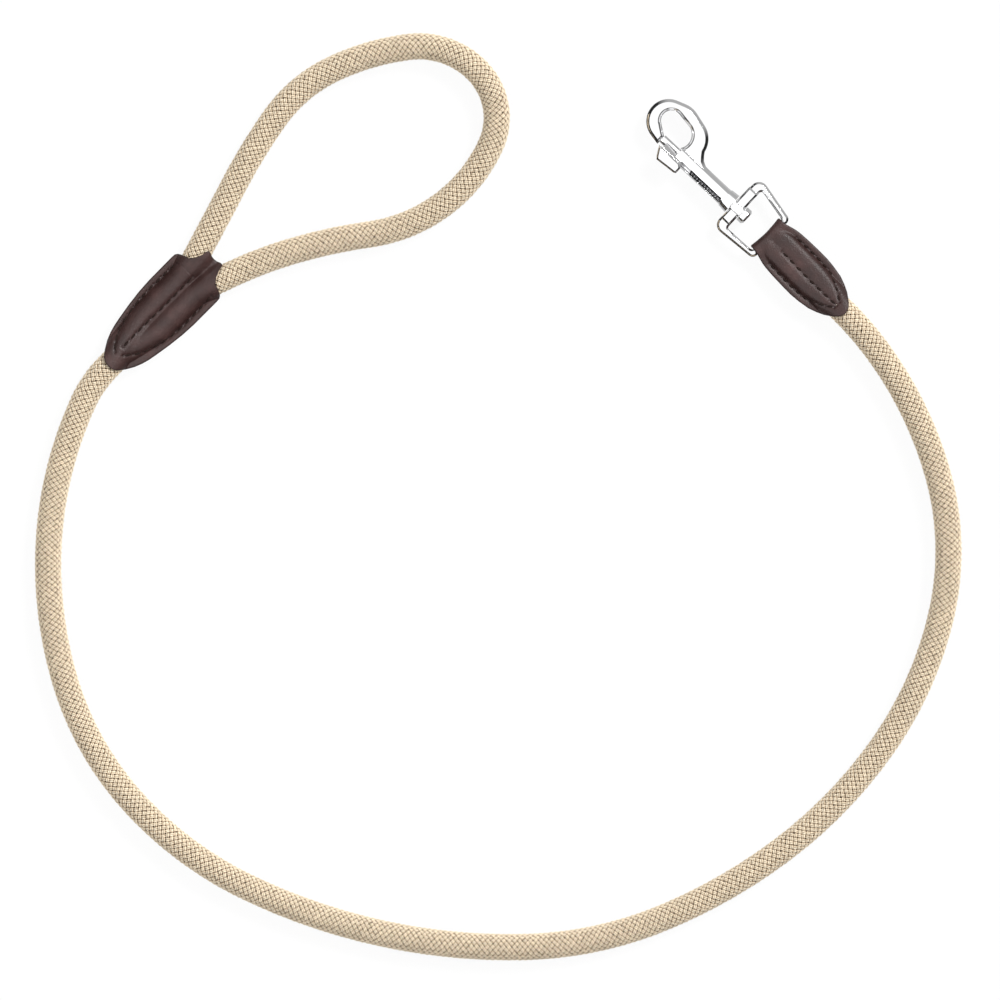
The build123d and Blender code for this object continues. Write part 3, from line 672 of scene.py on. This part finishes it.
def tab_bare(t, v):
    z = smax(lane_height(t, v, tab_lanes[0], 0.24), lane_height(t, v, tab_lanes[1], 0.24), 1.6)
    z = -smax(-z, -np.interp(t, [-20.0, 6.0, 20.0, 28.7], [4.2, 4.6, 6.3, 8.6]), 1.0)
    z = smax(z, LEATHER + 0.05 + 0 * t, 1.2) - 0.2
    # rises over the eye's bar
    f = np.clip((t - BAR_T) / 9.0, 0, 1)
    f = f * f * (3 - 2 * f)
    over = FOLD_R * (1 - f) + (LEATHER + 0.05) * f
    return smax(z, over, 0.5) - 0.06


def tab_top(t, v):
    z = tab_bare(t, v)
    d = near(t, v, tab_all[::2])
    h = near(t, v, tab_pts)
    return z - 0.42 * np.exp(-(d / 0.95) ** 2) - 0.32 * np.exp(-(h / 0.5) ** 2)


def tab_mesh():
    nt, nq, nf = 190, 92, 28
    q = np.sin(np.linspace(-math.pi / 2, math.pi / 2, nq) * 0.94) / math.sin(math.pi / 2 * 0.94)
    p = np.linspace(0, 1, nt)
    p = 1 - (1 - p) ** 1.25
    T = BAR_T + p * (TAB_TO_TIP - BAR_T)
    T = np.broadcast_to(T[:, None], (nt, nq))
    W = half_width(T, TAB_HALF, TAB_TO_TIP)
    V = q[None, :] * W
    Z = tab_top(T, V)
    B = np.maximum(tab_bare(T, V) - LEATHER, 0.06)
    edge = np.minimum((1 - np.abs(q))[None, :] * W, (1 - p)[:, None] * 50.0)
    drop = 0.40 * np.exp(-(edge / 0.40) ** 2)
    Zo = np.maximum(Z - drop, B + 0.55)
    ang = np.linspace(math.pi / 2, 3 * math.pi / 2, nf)[1:-1]
    z_bar_o, z_bar_i = Zo[0], B[0]
    sag = 0.8 * (1 - q ** 2)
    fo_t = BAR_T + np.cos(ang)[:, None] * (z_bar_o[None, :] * 1.0) + sag[None, :] * np.sin(np.linspace(0, math.pi, nf))[1:-1][:, None]
    fo_z = np.sin(ang)[:, None] * z_bar_o[None, :]
    fi_t = BAR_T + np.cos(ang)[:, None] * z_bar_i[None, :]
    fi_z = np.sin(ang)[:, None] * z_bar_i[None, :]
    fv = np.broadcast_to(V[0][None, :], fo_t.shape)
    outer = np.concatenate([
        tab.world(T[::-1], V[::-1], Zo[::-1]), tab.world(fo_t, fv, fo_z), tab.world(T, V, -Zo)])
    inner = np.concatenate([
        tab.world(T[::-1], V[::-1], B[::-1]), tab.world(fi_t, fv, fi_z), tab.world(T, V, -B)])
    # darker towards the rim and along the fold's sides; painted shade round the stitch holes
    e = np.maximum(np.exp(-(edge / 0.35) ** 2) * 0.9, 0.85 * np.exp(-(near(T, V, tab_pts) / 0.5) ** 2))
    ef = np.exp(-(((1 - np.abs(q)) * 9.1) / 0.35) ** 2) * 0.9
    ee = np.concatenate([e[::-1], np.broadcast_to(ef[None, :], fo_t.shape), e])
    n, m = outer.shape[:2]
    verts = np.concatenate([outer.reshape(-1, 3), inner.reshape(-1, 3)])
    f1 = grid_faces(n, m)
    f2 = grid_faces(n, m, base=n * m)[:, ::-1]
    ring = ([(0, j) for j in range(m)] + [(i, m - 1) for i in range(1, n)] + [(n - 1, j) for j in range(m - 2, -1, -1)]
            + [(i, 0) for i in range(n - 2, 0, -1)])
    ids = np.array([i * m + j for i, j in ring])
    nxt = np.roll(ids, -1)
    f3 = np.stack([ids, ids + n * m, nxt + n * m, nxt], -1)
    # the ones: painted shade over the whole inner face
    ob = make("tab_leather_skin", verts, np.concatenate([f1, f2, f3]), HIDE, attrs={"edge": np.concatenate([ee.ravel(), np.ones(n * m)])})
    mesh_normals_out(ob)
    return ob


ob = tab_mesh()
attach(ob, "tab")
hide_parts("tab_leather")
for key, pts in tab_holes.items():
    stitch_mesh(f"tab_thread_{key}", tab, pts, lambda t, v: tab_top(t, v) + 0.22, "tab", f"tab_stitches_{key}")

# ---- metal --------------------------------------------------------------------
def dress(name, mat, width=0.25, angle=32):
    o = frame["nodes"][name]
    o.data.materials.clear()
    o.data.materials.append(mat)
    o.data.polygons.foreach_set("use_smooth", [True] * len(o.data.polygons))
    if width:
        w = o.modifiers.new("weld", "WELD")
        w.merge_threshold = 1e-6
        b = o.modifiers.new("bevel", "BEVEL")
        b.width = width * MM
        b.segments = 3
        b.limit_method = "ANGLE"
        b.angle_limit = math.radians(angle)
        b.harden_normals = True


dress("snap_body", CHROME, 0.45)
dress("thumb_stud", CHROME, 0.35)
dress("swivel_eye", CHROME, 0.5)
dress("swivel_rivet", CHROME, 0.3)
dress("bolt", CHROME, 0.25)

# spring, coiled along the bolt's axis
s_a, s_b = -23.9, -5.3
turns, wire, coil_r = 11, 0.28, 1.65
n = turns * 22
f = np.linspace(0, 1, n + 1)
ang = 2 * math.pi * turns * f
tt = s_a + wire + f * (s_b - s_a - 2 * wire)
cen = np.stack([tt, coil_r * np.cos(ang), coil_r * np.sin(ang)], -1)
tan = np.gradient(cen, axis=0)
tan /= np.linalg.norm(tan, axis=1)[:, None]
rad = np.stack([0 * ang, np.cos(ang), np.sin(ang)], -1)
bi = np.cross(tan, rad)
q = np.arange(8) * 2 * math.pi / 8
pts = cen[:, None, :] + wire * (np.cos(q)[None, :, None] * rad[:, None, :] + np.sin(q)[None, :, None] * bi[:, None, :])
spring = make("bolt_spring_coil", snap.world(pts[..., 0], pts[..., 1] + AXIS_N, pts[..., 2]).reshape(-1, 3), grid_faces(n + 1, 8, close_m=True), STEEL)
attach(spring, "snap")
anchor = snap.world(s_b, AXIS_N, 0) * MM
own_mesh(spring)
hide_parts("bolt_spring")

# ---- floor, light, camera -----------------------------------------------------
def stage_floor():
    me = bpy.data.meshes.new("floor")
    r = 6.0
    z = -0.0004
    me.from_pydata([(-r, -r, z), (r, -r, z), (r, r, z), (-r, r, z)], [], [(0, 1, 2, 3)])
    m, nt, b = material("floor_pale")
    n1 = node(nt, "ShaderNodeTexNoise", Scale=3.0)
    col = ramp(nt, [(0.0, (0.93, 0.93, 0.93)), (1.0, (0.95, 0.95, 0.95))])
    nt.links.new(n1.outputs["Fac"], col.inputs["Fac"])
    nt.links.new(col.outputs["Color"], b.inputs["Base Color"])
    b.inputs["Roughness"].default_value = 0.9
    b.inputs["Specular IOR Level"].default_value = 0.1
    # mostly clear to the eye, so that the loop still shows where a pose hangs below the floor's level
    glow = node(nt, "ShaderNodeBsdfTransparent")
    part = node(nt, "ShaderNodeMixShader")
    sight = node(nt, "ShaderNodeLightPath")
    share = node(nt, "ShaderNodeMath", operation="MULTIPLY")
    share.inputs[1].default_value = 0.94
    nt.links.new(sight.outputs["Is Camera Ray"], share.inputs[0])
    nt.links.new(share.outputs["Value"], part.inputs[0])
    nt.links.new(b.outputs["BSDF"], part.inputs[1])
    nt.links.new(glow.outputs["BSDF"], part.inputs[2])
    clear = node(nt, "ShaderNodeBsdfTransparent")
    skip = node(nt, "ShaderNodeMixShader")
    either = node(nt, "ShaderNodeMath", operation="MAXIMUM")
    nt.links.new(sight.outputs["Is Glossy Ray"], either.inputs[0])
    nt.links.new(sight.outputs["Is Shadow Ray"], either.inputs[1])
    nt.links.new(either.outputs["Value"], skip.inputs[0])
    nt.links.new(part.outputs["Shader"], skip.inputs[1])
    nt.links.new(clear.outputs["BSDF"], skip.inputs[2])
    nt.links.new(skip.outputs["Shader"], nt.nodes["Material Output"].inputs["Surface"])
    me.materials.append(m)
    o = bpy.data.objects.new("floor", me)
    bpy.context.scene.collection.objects.link(o)


stage_floor()
world = bpy.data.worlds.new("studio")
bpy.context.scene.world = world
world.use_nodes = True
wt = world.node_tree
bg = wt.nodes["Background"]
tc = wt.nodes.new("ShaderNodeTexCoord")
sep = wt.nodes.new("ShaderNodeSeparateXYZ")
wt.links.new(tc.outputs["Generated"], sep.inputs["Vector"])


def sky(stops):
    """Grey by the height a ray looks at, straight down 0, level 0.5, straight up 1."""
    r = wt.nodes.new("ShaderNodeValToRGB")
    el = r.color_ramp.elements
    while len(el) < len(stops):
        el.new(0.5)
    for e, (pos, val) in zip(el, stops):
        e.position = pos
        e.color = (val, val, val, 1)
    wt.links.new(mr.outputs["Result"], r.inputs["Fac"])
    return r


mr = wt.nodes.new("ShaderNodeMapRange")
mr.inputs["From Min"].default_value = -1.0
wt.links.new(sep.outputs["Z"], mr.inputs["Value"])
soft = sky([(0.0, 0.80), (0.48, 0.80), (0.60, 0.62), (0.80, 0.95), (1.0, 1.0)])
mirror = sky([(0.0, 0.55), (0.26, 0.40), (0.34, 0.025), (0.63, 0.02), (0.70, 0.22), (0.78, 1.0), (1.0, 1.0)])
sight = wt.nodes.new("ShaderNodeLightPath")
# the dark band fades toward the upper right, where the big white card stands
toward = wt.nodes.new("ShaderNodeVectorMath")
toward.operation = "DOT_PRODUCT"
toward.inputs[1].default_value = (0.45, 0.89, 0.0)
wt.links.new(tc.outputs["Generated"], toward.inputs[0])
card = wt.nodes.new("ShaderNodeMapRange")
card.inputs["From Min"].default_value = 0.50
card.inputs["From Max"].default_value = 0.88
card.inputs["To Max"].default_value = 0.75
wt.links.new(toward.outputs["Value"], card.inputs["Value"])
lit = wt.nodes.new("ShaderNodeMix")
lit.data_type = "RGBA"
lit.inputs[7].default_value = (0.52, 0.52, 0.52, 1.0)
wt.links.new(card.outputs["Result"], lit.inputs[0])
wt.links.new(mirror.outputs["Color"], lit.inputs[6])
bright = wt.nodes.new("ShaderNodeMix")
bright.data_type = "RGBA"
bright.blend_type = "LIGHTEN"
bright.inputs[0].default_value = 1.0
wt.links.new(mirror.outputs["Color"], bright.inputs[6])
wt.links.new(lit.outputs[2], bright.inputs[7])
pick = wt.nodes.new("ShaderNodeMix")
pick.data_type = "RGBA"
wt.links.new(sight.outputs["Is Glossy Ray"], pick.inputs[0])
wt.links.new(soft.outputs["Color"], pick.inputs[6])
wt.links.new(bright.outputs[2], pick.inputs[7])
seen = wt.nodes.new("ShaderNodeMix")
seen.data_type = "RGBA"
seen.inputs[7].default_value = (1.0, 1.0, 1.0, 1.0)
wt.links.new(sight.outputs["Is Camera Ray"], seen.inputs[0])
wt.links.new(pick.outputs[2], seen.inputs[6])
wt.links.new(seen.outputs[2], bg.inputs["Color"])
power = wt.nodes.new("ShaderNodeMapRange")
power.inputs["To Min"].default_value = 0.66
power.inputs["To Max"].default_value = 1.28
wt.links.new(sight.outputs["Is Glossy Ray"], power.inputs["Value"])
most = wt.nodes.new("ShaderNodeMath")
most.operation = "MAXIMUM"
wt.links.new(power.outputs["Result"], most.inputs[0])
wt.links.new(sight.outputs["Is Camera Ray"], most.inputs[1])
wt.links.new(most.outputs["Value"], bg.inputs["Strength"])


def area(name, loc, size, power, target=(0, 0, 0)):
    d = bpy.data.lights.new(name, "AREA")
    d.shape = "RECTANGLE"
    d.size, d.size_y = size
    d.energy = power
    o = bpy.data.objects.new(name, d)
    o.location = loc
    o.rotation_euler = (Vector(target) - Vector(loc)).to_track_quat("-Z", "Y").to_euler()
    bpy.context.scene.collection.objects.link(o)
    return o


key = bpy.data.lights.new("key", "SUN")
key.energy = 2.75
key.angle = math.radians(18)
ko = bpy.data.objects.new("key", key)
ko.rotation_euler = Vector((-0.65, -0.60, -1.0)).to_track_quat("-Z", "Y").to_euler()
bpy.context.scene.collection.objects.link(ko)
area("fill", (-0.8, -0.3, 1.0), (0.9, 0.9), 3.0)

cam = bpy.data.cameras.new("camera")
cam.type = "ORTHO"
cam.ortho_scale = 0.455
co = bpy.data.objects.new("camera", cam)
co.location = (0.762 * MM, (-0.6825 - 0.818) * MM, 1.2)
bpy.context.scene.collection.objects.link(co)
bpy.context.scene.camera = co
bpy.context.scene.view_settings.view_transform = "Standard"
